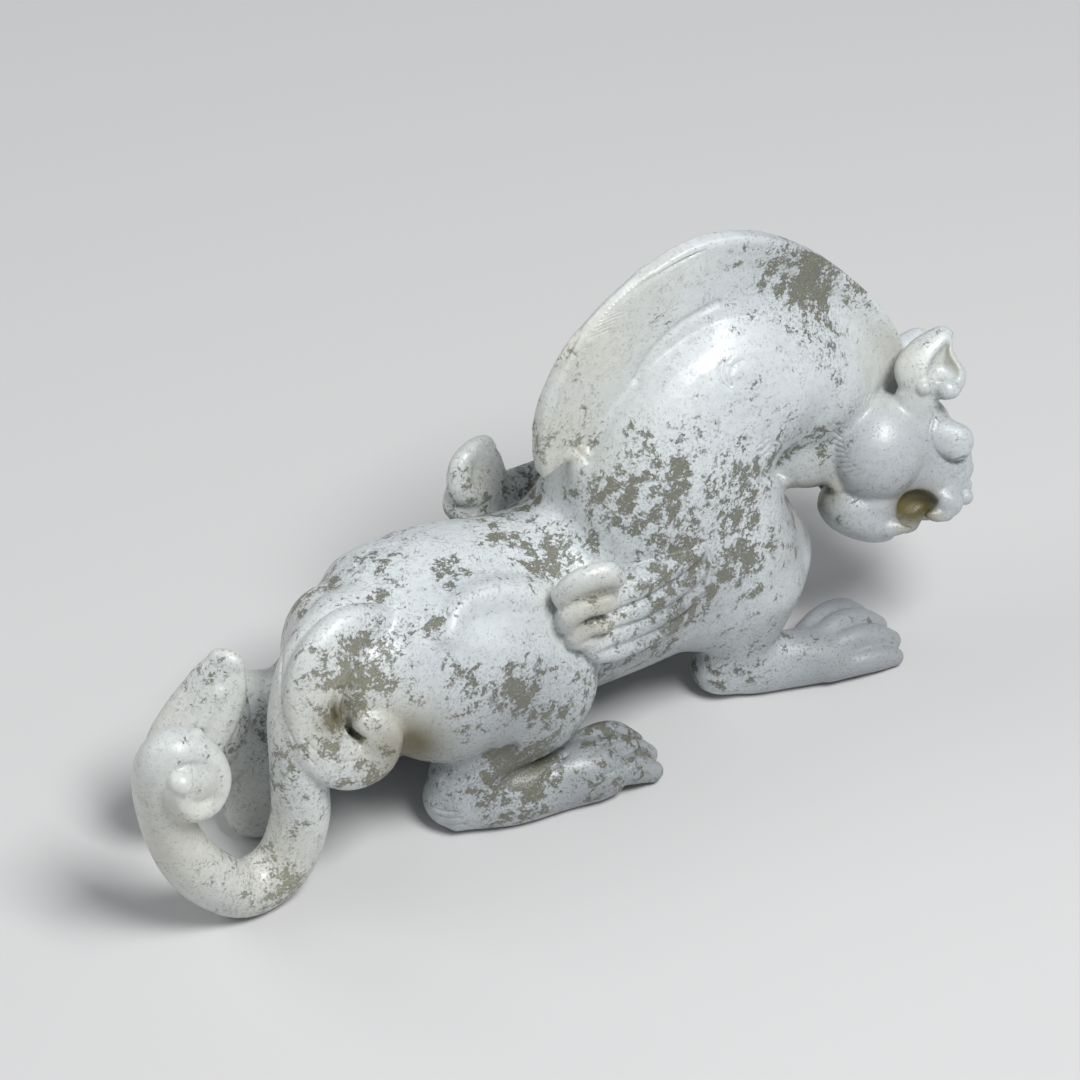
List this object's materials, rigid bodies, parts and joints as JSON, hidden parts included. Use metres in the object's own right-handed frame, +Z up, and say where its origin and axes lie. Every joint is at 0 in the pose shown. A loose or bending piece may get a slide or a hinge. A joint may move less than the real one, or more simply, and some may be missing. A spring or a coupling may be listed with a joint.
{
  "type": "carved jade beast figure",
  "caption": "Prowling winged feline carved in the round from one pebble of jade, with a tall mane crest, curled tail and turned head; a small standing figure.",
  "frame": {"origin": "on the surface that the feet stand on, under the middle of the figure's box", "axes": "+X the way the body walks, +Y the beast's left side, +Z up"},
  "size_m": [0.1248, 0.0356, 0.0689],
  "materials": {
    "jade": "polished, patchy white skin over grey-green jade"
  },
  "bodies": {
    "root": {"beast": "jade"}
  },
  "joints": []
}
